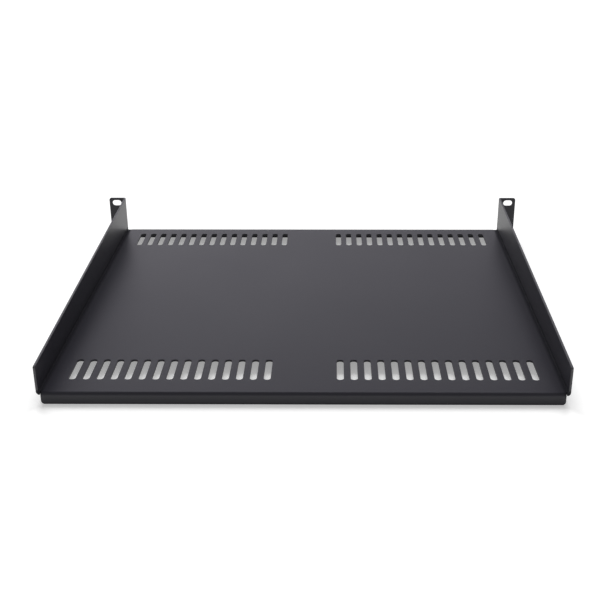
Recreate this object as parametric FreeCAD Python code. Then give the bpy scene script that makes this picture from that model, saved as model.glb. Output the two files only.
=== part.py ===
import FreeCAD, Part
import math
import os

# Cantilever rack shelf, folded from one blank of steel sheet: a vented panel, two
# sloping side walls, an ear on each wall, and a lip turned down at each end.
# +X runs across the rack, +Y from the free end to the ears, and +Z up. The origin is
# the middle of the four ear slots, on the ears' rail-side face. Sizes are millimetres.

# Sheet and folds
sheet = 2.0                  # thickness of the blank
bend_radius = 1.0            # inside radius of every fold
k_factor = 0.44              # place of the neutral line in a fold's thickness
slit = 0.4                   # relief between two folds that meet at a corner

# Tray
depth = 406.0                # free edge to the ears' front face
free_wall_rise = 24.6        # panel's upper face to the wall's top at the free end
wall_corner_radius = 1.2     # wall's upper corner at the free end
panel_drop = 39.2            # ears' top edge to the panel's upper face

# Turned-down lips
lip_height = 10.6            # panel's upper face to the lip's lower edge
lip_corner_radius = 3.0

# Ears, for one unit of a 19 inch rack
ear_span = 482.6             # over both ears
ear_width = 17.8             # wall's outer face to the ear's outer edge
ear_height = 44.0
ear_corner_radius = 2.5
ear_slot_inset = 8.75        # ear's outer edge to a slot's centre
ear_slot_margin = 6.125      # ear's upper or lower edge to a slot's centre
ear_slot_length = 10.5
ear_slot_width = 6.8

# Vent slots, in a row at each end of the panel, each row in two groups
vent_width = 6.0
vent_length = 37.0
vent_end_rise = 2.5          # how far a slot's rounded end stands past its straight sides
vent_pitch = 12.0
vent_group_gap = 63.0        # between the innermost slots of a row's two groups
vent_side_margin = 20.0      # least distance from the wall's outer face to a slot's centre
free_row_margin = 24.5       # free edge to the near ends of the free row's slots
ear_row_margin = 18.5        # ears' front face to the far ends of the ear row's slots

# Derived sizes
outer_radius = bend_radius + sheet
fold_length = math.pi / 2 * (bend_radius + k_factor * sheet)
clear = sheet                # how far a cutter runs past the sheet
same_place = 1e-6
half_ear_span = ear_span / 2
half_body = half_ear_span - ear_width
ear_top = ear_height / 2
panel_top = ear_top - panel_drop
panel_bottom = panel_top - sheet
lip_bottom = panel_top - lip_height
wall_flat_bottom = panel_top + bend_radius
ear_front = sheet
free_edge = ear_front - depth
fold_start = ear_front - outer_radius

# The free lip ends at the slit beside each wall's fold. The ear end's lip is shorter,
# so that in the flat blank it clears the part of each ear that hangs below the fold.
fold_line = half_body - outer_radius
blank_ear_bottom = fold_line + fold_length - (wall_flat_bottom + ear_top)
free_lip_half = fold_line - slit
ear_lip_half = min(fold_line, blank_ear_bottom) - slit

ACROSS = FreeCAD.Vector(1, 0, 0)
ALONG = FreeCAD.Vector(0, 1, 0)
UP = FreeCAD.Vector(0, 0, 1)


def at(x, y, z):
    return FreeCAD.Vector(x, y, z)


def rounded_edges(points, radii):
    """Edges of the line through the points, with each inner corner rounded."""
    edges = []
    start = points[0]
    for before, corner, after, radius in zip(points, points[1:], points[2:], radii):
        if radius == 0:
            edges.append(Part.LineSegment(start, corner).toShape())
            start = corner
            continue
        back = (before - corner).normalize()
        ahead = (after - corner).normalize()
        half_angle = back.getAngle(ahead) / 2
        run = radius / math.tan(half_angle)
        middle = (back + ahead).normalize() * (radius / math.sin(half_angle) - radius)
        first = corner + back * run
        last = corner + ahead * run
        if not start.isEqual(first, same_place):
            edges.append(Part.LineSegment(start, first).toShape())
        edges.append(Part.Arc(first, corner + middle, last).toShape())
        start = last
    if not start.isEqual(points[-1], same_place):
        edges.append(Part.LineSegment(start, points[-1]).toShape())
    return edges


def plate(points, radii, thickness):
    """Plate with the outline through the points, and a radius for each corner."""
    seam = (points[0] + points[-1]) * 0.5
    outline = Part.Wire(rounded_edges([seam] + points + [seam], radii))
    return Part.Face(outline).extrude(thickness)


def folded_strip(skin, radius, thickness, length):
    """Sheet folded along a line of one of its skins, which has the given fold radius."""
    line = Part.Wire(rounded_edges(skin, [radius] * (len(skin) - 2)))
    return line.makeOffset2D(thickness, 0, True, True, False).extrude(length)


def slot_cutter(centre, run, width, end_rise, thickness):
    """Cutter of a slot with rounded ends; run goes from end to end of the slot."""
    along = FreeCAD.Vector(run).normalize()
    side = along.cross(thickness).normalize() * (width / 2)
    half = along * (run.Length / 2 - end_rise)
    tip = run * 0.5
    edges = [
        Part.LineSegment(centre - half + side, centre + half + side).toShape(),
        Part.Arc(centre + half + side, centre + tip, centre + half - side).toShape(),
        Part.LineSegment(centre + half - side, centre - half - side).toShape(),
        Part.Arc(centre - half - side, centre - tip, centre - half + side).toShape(),
    ]
    return Part.Face(Part.Wire(edges)).extrude(thickness)


def mirrored(shape):
    return shape.mirror(at(0, 0, 0), ACROSS)


def tray():
    """Panel with its two upright walls, whose top edges slope up to the ears."""
    section = [
        at(half_body, free_edge, ear_top),
        at(half_body, free_edge, panel_bottom),
        at(-half_body, free_edge, panel_bottom),
        at(-half_body, free_edge, ear_top),
    ]
    channel = folded_strip(section, outer_radius, -sheet, ALONG * (fold_start - free_edge))
    side_view = [
        at(-half_body, fold_start, panel_bottom),
        at(-half_body, free_edge, panel_bottom),
        at(-half_body, free_edge, panel_top + free_wall_rise),
        at(-half_body, fold_start, ear_top),
    ]
    walls_cut = plate(side_view, [0, 0, wall_corner_radius, 0], ACROSS * 2 * half_body)
    return channel.common(walls_cut)


def free_end_cutters():
    """The panel's strip that the free lip's fold takes up, and the slits beside it."""
    strip = Part.makeBox(
        2 * free_lip_half,
        clear + outer_radius,
        sheet + 2 * clear,
        at(-free_lip_half, free_edge - clear, panel_bottom - clear),
    )
    slit_end = free_edge + outer_radius + slit
    slit_start = free_edge - clear
    centre = at(free_lip_half + slit / 2, (slit_start + slit_end) / 2, panel_bottom - clear)
    run = ALONG * (slit_end - slit_start)
    cut = slot_cutter(centre, run, slit, slit / 2, UP * (sheet + 2 * clear))
    return [strip, cut, mirrored(cut)]


def lip(end_y, outward, half_width):
    """Lip folded down at one end of the panel; outward is +1 or -1 along Y."""
    skin = [
        at(-half_width, end_y - outward * outer_radius, panel_top),
        at(-half_width, end_y, panel_top),
        at(-half_width, end_y, lip_bottom),
    ]
    strip = folded_strip(skin, outer_radius, outward * sheet, ACROSS * 2 * half_width)
    end_view = [
        at(-half_width, end_y, panel_top),
        at(-half_width, end_y, lip_bottom),
        at(half_width, end_y, lip_bottom),
        at(half_width, end_y, panel_top),
    ]
    radii = [0, lip_corner_radius, lip_corner_radius, 0]
    return strip.common(plate(end_view, radii, ALONG * -outward * outer_radius))


def ear():
    """Right-hand ear, folded outwards from its wall, with two slots for rack screws."""
    skin = [
        at(half_body, fold_start, -ear_top),
        at(half_body, 0, -ear_top),
        at(half_ear_span, 0, -ear_top),
    ]
    strip = folded_strip(skin, bend_radius, -sheet, UP * ear_height)
    end_view = [
        at(half_body - sheet, fold_start, -ear_top),
        at(half_ear_span, fold_start, -ear_top),
        at(half_ear_span, fold_start, ear_top),
        at(half_body - sheet, fold_start, ear_top),
    ]
    radii = [0, ear_corner_radius, ear_corner_radius, 0]
    blank = strip.common(plate(end_view, radii, ALONG * outer_radius))
    relief = Part.makeBox(
        sheet + bend_radius + clear,
        outer_radius + 2 * clear,
        wall_flat_bottom + slit + ear_top + clear,
        at(half_body - sheet - clear, fold_start - clear, -ear_top - clear),
    )
    slots = []
    for height in (ear_top - ear_slot_margin, ear_slot_margin - ear_top):
        centre = at(half_ear_span - ear_slot_inset, -clear, height)
        thickness = ALONG * (sheet + 2 * clear)
        run = ACROSS * ear_slot_length
        slots.append(slot_cutter(centre, run, ear_slot_width, ear_slot_width / 2, thickness))
    return blank.cut([relief] + slots)


def vent_slots():
    """Cutters of the panel's vent slots."""
    room = half_body - vent_side_margin - vent_group_gap / 2
    group = int(room // vent_pitch) + 1
    rows = (free_edge + free_row_margin, ear_front - ear_row_margin - vent_length)
    cutters = []
    for row_start in rows:
        for side in (-1, 1):
            for i in range(group):
                x = side * (vent_group_gap / 2 + i * vent_pitch)
                centre = at(x, row_start + vent_length / 2, panel_bottom - clear)
                run = ALONG * vent_length
                thickness = UP * (sheet + 2 * clear)
                cutters.append(slot_cutter(centre, run, vent_width, vent_end_rise, thickness))
    return cutters


def shelf_tray():
    """The whole shelf, one folded sheet."""
    body = tray().cut(free_end_cutters())
    right_ear = ear()
    flanges = [
        lip(free_edge, -1, free_lip_half),
        lip(ear_front, 1, ear_lip_half),
        right_ear,
        mirrored(right_ear),
    ]
    return body.fuse(flanges).removeSplitter().cut(vent_slots())


os.makedirs("parts", exist_ok=True)
shelf = shelf_tray()
shelf.exportStep("parts/shelf_tray.step")
print("solids", len(shelf.Solids), "valid", shelf.isValid(), "volume", round(shelf.Volume, 1))
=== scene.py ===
import bmesh
import bpy
import math
from mathutils import Matrix, Vector


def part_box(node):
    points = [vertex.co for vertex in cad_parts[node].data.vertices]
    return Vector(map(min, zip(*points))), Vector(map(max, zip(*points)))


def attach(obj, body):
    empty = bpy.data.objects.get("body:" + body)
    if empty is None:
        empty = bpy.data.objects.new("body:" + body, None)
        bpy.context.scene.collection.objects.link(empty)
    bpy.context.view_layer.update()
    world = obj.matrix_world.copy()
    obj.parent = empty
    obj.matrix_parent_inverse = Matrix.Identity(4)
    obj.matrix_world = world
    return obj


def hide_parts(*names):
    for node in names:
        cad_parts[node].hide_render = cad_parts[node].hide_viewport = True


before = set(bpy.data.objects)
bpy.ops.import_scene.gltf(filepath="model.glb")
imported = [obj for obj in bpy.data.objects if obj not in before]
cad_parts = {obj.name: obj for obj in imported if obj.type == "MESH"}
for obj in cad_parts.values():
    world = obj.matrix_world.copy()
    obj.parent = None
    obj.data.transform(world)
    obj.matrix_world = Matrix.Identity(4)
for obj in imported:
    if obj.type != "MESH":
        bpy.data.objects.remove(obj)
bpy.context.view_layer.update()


# Camera
# A long lens held above the shelf's free end, looking down and along it to the ears. It
# points a little right of the shelf's middle, and the view is shifted left to frame it.
shelf_low, shelf_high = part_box("shelf_tray")
camera_back = 0.7339      # in front of the free edge
camera_side = 0.0249      # right of the shelf's middle
camera_rise = 0.4202      # above the lips' lower edges
camera_yaw = -0.0096      # in radians, as the next two are; turning right is positive
camera_pitch = 0.4159     # downwards
camera_roll = -0.0023
camera_lens = 60.16       # in millimetres, as the sensor is
camera_sensor = 36
camera_shift = -0.04      # in widths of the view

ahead = Vector((
    math.sin(camera_yaw) * math.cos(camera_pitch),
    math.cos(camera_yaw) * math.cos(camera_pitch),
    -math.sin(camera_pitch),
))
level = Vector((math.cos(camera_yaw), -math.sin(camera_yaw), 0))
turn = Matrix.Rotation(-camera_roll, 3, ahead)
right = turn @ level
up = turn @ level.cross(ahead)

camera_data = bpy.data.cameras.new("camera")
camera_data.lens = camera_lens
camera_data.sensor_width = camera_sensor
camera_data.shift_x = camera_shift
camera = bpy.data.objects.new("camera", camera_data)
bpy.context.collection.objects.link(camera)
camera.matrix_world = Matrix((right, up, -ahead)).transposed().to_4x4()
camera.location = (
    camera_side,
    shelf_low[1] - camera_back,
    shelf_low[2] + camera_rise,
)
bpy.context.scene.camera = camera


# Shelf
# The whole shelf is one blank of 2 mm steel sheet, laser cut and slotted, then folded. Its
# ears are screwed to the rack's rails. Powder coat rounds its cut edges a little and leaves
# a fine, dry satin grain.
same_place = 0.000005            # corners of facets that are nearer than this are one
fold_facet = math.radians(20)    # facets of a fold meet at less than this
edge_round = 0.0003              # radius of the coat over a cut edge
edge_steps = 3
flat_weight = 100                # a large face keeps its own shading up to its edge

coated = bmesh.new()
coated.from_mesh(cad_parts["shelf_tray"].data)
bmesh.ops.remove_doubles(coated, verts=coated.verts, dist=same_place)
bmesh.ops.recalc_face_normals(coated, faces=coated.faces)
cut_edges = [e for e in coated.edges if e.calc_face_angle(0) > fold_facet]
bmesh.ops.bevel(
    coated,
    geom=cut_edges,
    offset=edge_round,
    offset_type="OFFSET",
    segments=edge_steps,
    profile=0.5,
    affect="EDGES",
    clamp_overlap=False,
    material=-1,
)
# Rounding pushes a corner of an ear's relief a little past the ear's front face. It is put
# back into it.
for vertex in coated.verts:
    vertex.co.y = min(vertex.co.y, shelf_high[1])
for face in coated.faces:
    face.smooth = True
shelf_mesh = bpy.data.meshes.new("coated_shelf")
coated.to_mesh(shelf_mesh)
coated.free()
shelf = bpy.data.objects.new("coated_shelf", shelf_mesh)
bpy.context.collection.objects.link(shelf)
flats = shelf.modifiers.new("flat_faces", "WEIGHTED_NORMAL")
flats.mode = "FACE_AREA"
flats.weight = flat_weight


class Shade:
    """A socket of a node tree, or just the tree. Arithmetic on it adds Math nodes."""

    def __init__(self, tree, socket=None):
        self.tree = tree
        self.socket = socket

    def add(self, kind, settings, inputs, output=0):
        """Adds a node, with its settings first and then its sockets' values or links."""
        node = self.tree.nodes.new(kind)
        for name, value in settings.items():
            setattr(node, name, value)
        for name, value in inputs.items():
            if isinstance(value, Shade):
                self.tree.links.new(value.socket, node.inputs[name])
            else:
                node.inputs[name].default_value = value
        return Shade(self.tree, node.outputs[output])

    def show(self, kind):
        """Ends the tree with an output node of this kind, which shows this shader."""
        node = self.tree.nodes.new(kind)
        self.tree.links.new(self.socket, node.inputs["Surface"])

    def math(self, operation, a, b):
        return self.add("ShaderNodeMath", {"operation": operation}, {0: a, 1: b})

    def ramp(self, start, end):
        """Goes smoothly from 0 at the start to 1 at the end."""
        limits = {"Value": self, "From Min": start, "From Max": end}
        return self.add("ShaderNodeMapRange", {"interpolation_type": "SMOOTHSTEP"}, limits)

    def axis(self, name):
        """One of a vector's three numbers, X, Y or Z."""
        return self.add("ShaderNodeSeparateXYZ", {}, {"Vector": self}, name)

    def noise(self, scale, detail):
        """Noise at the place that this vector gives, with a scale per metre."""
        inputs = {"Vector": self, "Scale": scale, "Detail": detail}
        return self.add("ShaderNodeTexNoise", {}, inputs)

    def mix(self, share, first, second):
        """Mixes two colours. The share is the second one's, from 0 to 1."""
        colours = {0: share, 6: first, 7: second}
        return self.add("ShaderNodeMix", {"data_type": "RGBA"}, colours, 2)

    def __add__(self, other):
        return self.math("ADD", self, other)

    def __sub__(self, other):
        return self.math("SUBTRACT", self, other)

    def __mul__(self, other):
        return self.math("MULTIPLY", self, other)

    def __rsub__(self, other):
        return self.math("SUBTRACT", other, self)

    __radd__ = __add__
    __rmul__ = __mul__


def new_tree(owner):
    """Gives a material or a world an empty node tree."""
    owner.use_nodes = True
    owner.node_tree.nodes.clear()
    return Shade(owner.node_tree)


# The coat has a fine grain over a soft orange peel, and clouds slowly along the sheet.
grain_share = 0.6
coat_dark = (0.0140, 0.0135, 0.0190, 1)
coat_pale = (0.0190, 0.0184, 0.0250, 1)
coat = bpy.data.materials.new("powder_coat")
shade = new_tree(coat)
place = shade.add("ShaderNodeTexCoord", {}, {}, "Object")
grain = place.noise(1400.0, 3.0)
peel = place.noise(260.0, 2.0)
cloud = place.noise(9.0, 3.0)
colour = shade.mix(grain * grain_share + cloud * (1 - grain_share), coat_dark, coat_pale)

# The powder reaches the walls' inner folds thinly and lies dry and rough there. The folds'
# colour is also darkened, which is painted shade where the wall meets the panel.
sheet = 0.002
ear_width = 0.0178
lip_height = 0.0106
dry_and_shade_core = 0.0005         # from the line where the wall's and the panel's faces would meet
dry_and_shade_reach = 0.005
painted_fold_shade_share = 0.7
painted_fold_shade_colour = (0.006, 0.006, 0.008, 1)
wall_inside = shelf_high[0] - ear_width - sheet
panel_height = shelf_low[2] + lip_height
along = place.axis("Y")
height = place.axis("Z")
from_wall = shade.math("ABSOLUTE", place.axis("X"), 0) - wall_inside
from_panel = height - panel_height
from_fold = shade.math("POWER", from_wall * from_wall + from_panel * from_panel, 0.5)
dry_and_painted_shade = 1 - from_fold.ramp(dry_and_shade_core, dry_and_shade_reach)
# Painted shade: the colour darkens towards the line where wall and panel meet.
colour = shade.mix(dry_and_painted_shade * painted_fold_shade_share, colour, painted_fold_shade_colour)

# The walls' cut edges, whose tops slope up to the ears, are painted a little paler. This is
# a painted highlight where the edges catch the light.
free_wall_rise = 0.0246       # panel's upper face to the wall's top at the free end
ear_fold_radius = 0.003       # outside radius of the fold between a wall and its ear
highlight_start = -0.0005       # from a cut edge, down or back into the wall
highlight_full = -0.0001
end_edge_start = 0.002        # above the panel's upper face
end_edge_full = 0.003
edge_highlight_colour = (0.062, 0.061, 0.068, 1)
wall_length = shelf_high[1] - ear_fold_radius - shelf_low[1]
wall_slope = (shelf_high[2] - panel_height - free_wall_rise) / wall_length
wall_top = panel_height + free_wall_rise + (along - shelf_low[1]) * wall_slope
top_edge_highlight = (height - wall_top).ramp(highlight_start, highlight_full)
end_edge_highlight = (shelf_low[1] - along).ramp(highlight_start, highlight_full)
end_edge_highlight = end_edge_highlight * from_panel.ramp(end_edge_start, end_edge_full)
# Painted highlight: the colour of the cut edges is made paler.
colour = shade.mix(shade.math("MAXIMUM", top_edge_highlight, end_edge_highlight), colour, edge_highlight_colour)

satin = 0.34                  # roughness of the plain coat
grain_rough = 0.08
cloud_rough = 0.06
dry_rough = 0.45
roughness = satin + grain * grain_rough + cloud * cloud_rough + dry_and_painted_shade * dry_rough
texture = grain * grain_share + peel * (1 - grain_share)
relief = shade.add(
    "ShaderNodeBump",
    {},
    {"Height": texture, "Strength": 0.35, "Distance": 0.00012},
)
surface = shade.add(
    "ShaderNodeBsdfPrincipled",
    {},
    {"Base Color": colour, "Roughness": roughness, "IOR": 1.45, "Normal": relief},
)
surface.show("ShaderNodeOutputMaterial")
shelf_mesh.materials.clear()
shelf_mesh.materials.append(coat)
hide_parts("shelf_tray")
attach(shelf, "root")


# Floor
# A wide sheet of white card, which the shelf's two lips stand on. The lens and the coat
# see it a little brighter than its light makes it, so it is plain white off the shadow.
floor_reach = 4.0
card_colour = (0.86, 0.86, 0.86, 1)
card_lift = 0.33
card = bmesh.new()
bmesh.ops.create_grid(card, x_segments=1, y_segments=1, size=floor_reach)
bmesh.ops.translate(card, verts=card.verts, vec=(0, 0, shelf_low[2]))
floor_mesh = bpy.data.meshes.new("floor")
card.to_mesh(floor_mesh)
card.free()
floor = bpy.data.objects.new("floor", floor_mesh)
bpy.context.collection.objects.link(floor)

card_coat = bpy.data.materials.new("white_card")
shade = new_tree(card_coat)
camera_ray = shade.add("ShaderNodeLightPath", {}, {}, "Is Camera Ray")
glossy_ray = shade.add("ShaderNodeLightPath", {}, {}, "Is Glossy Ray")
seen = shade.math("MAXIMUM", camera_ray, glossy_ray)
paper = shade.add("ShaderNodeBsdfDiffuse", {}, {"Color": card_colour})
lift = shade.add("ShaderNodeEmission", {}, {"Strength": seen * card_lift})
surface = shade.add("ShaderNodeAddShader", {}, {0: paper, 1: lift})
surface.show("ShaderNodeOutputMaterial")
floor_mesh.materials.append(card_coat)


# Studio light
# A soft even sky, and a wide soft lamp behind and above the shelf. The lens sees white all
# round. The coat reflects a backdrop of its own, which is brightest behind the shelf and a
# little to the left, dimmer at the sides, and dark overhead.
sky_level = 0.3
backdrop_level = 1.28
backdrop_axis = (-0.3, 0.954, 0)    # towards its brightest part
side_share = 0.25             # of the backdrop's level, all round
front_share = 0.35            # more of it along the axis, in front and behind
behind_share = 0.55           # and more again behind
behind_blend = 0.5            # cosine from the axis below which front and behind blend
fade_start = 0.38             # sines of the heights between which it fades to the zenith
fade_end = 0.72
zenith_level = 0.35
white = (1, 1, 1, 1)
reflected_tint = (1, 0.978, 1.055, 1)
lamp_energy = 3.2
lamp_width = math.radians(45)
lamp_direction = Vector((-0.05, 1.0, 0.9))

world = bpy.data.worlds.new("studio")
bpy.context.scene.world = world
world.cycles.sampling_method = "NONE"
shade = new_tree(world)
direction = shade.add("ShaderNodeTexCoord", {}, {}, "Generated")
facing = shade.add(
    "ShaderNodeVectorMath",
    {"operation": "DOT_PRODUCT"},
    {0: direction, 1: backdrop_axis},
    "Value",
)
behind = facing.ramp(-behind_blend, behind_blend)
facing_squared = facing * facing
near_axis = facing_squared * facing_squared * facing_squared
backdrop = backdrop_level * (side_share + near_axis * (front_share + behind * behind_share))
low = 1 - direction.axis("Z").ramp(fade_start, fade_end)
reflected = zenith_level + low * (backdrop - zenith_level)
camera_ray = shade.add("ShaderNodeLightPath", {}, {}, "Is Camera Ray")
glossy_ray = shade.add("ShaderNodeLightPath", {}, {}, "Is Glossy Ray")
clear_ray = shade.add("ShaderNodeLightPath", {}, {}, "Is Transmission Ray")
white_ray = shade.math("MAXIMUM", camera_ray, clear_ray)
strength = sky_level + glossy_ray * (reflected - sky_level)
strength = strength + white_ray * (1 - strength)
tint = shade.mix(glossy_ray, white, reflected_tint)
sky = shade.add("ShaderNodeBackground", {}, {"Color": tint, "Strength": strength})
sky.show("ShaderNodeOutputWorld")

lamp_data = bpy.data.lights.new("softbox", "SUN")
lamp_data.energy = lamp_energy
lamp_data.angle = lamp_width
lamp = bpy.data.objects.new("softbox", lamp_data)
bpy.context.collection.objects.link(lamp)
lamp.rotation_euler = lamp_direction.to_track_quat("Z", "Y").to_euler()
lamp.visible_glossy = False

scene = bpy.context.scene
scene.view_settings.view_transform = "Standard"
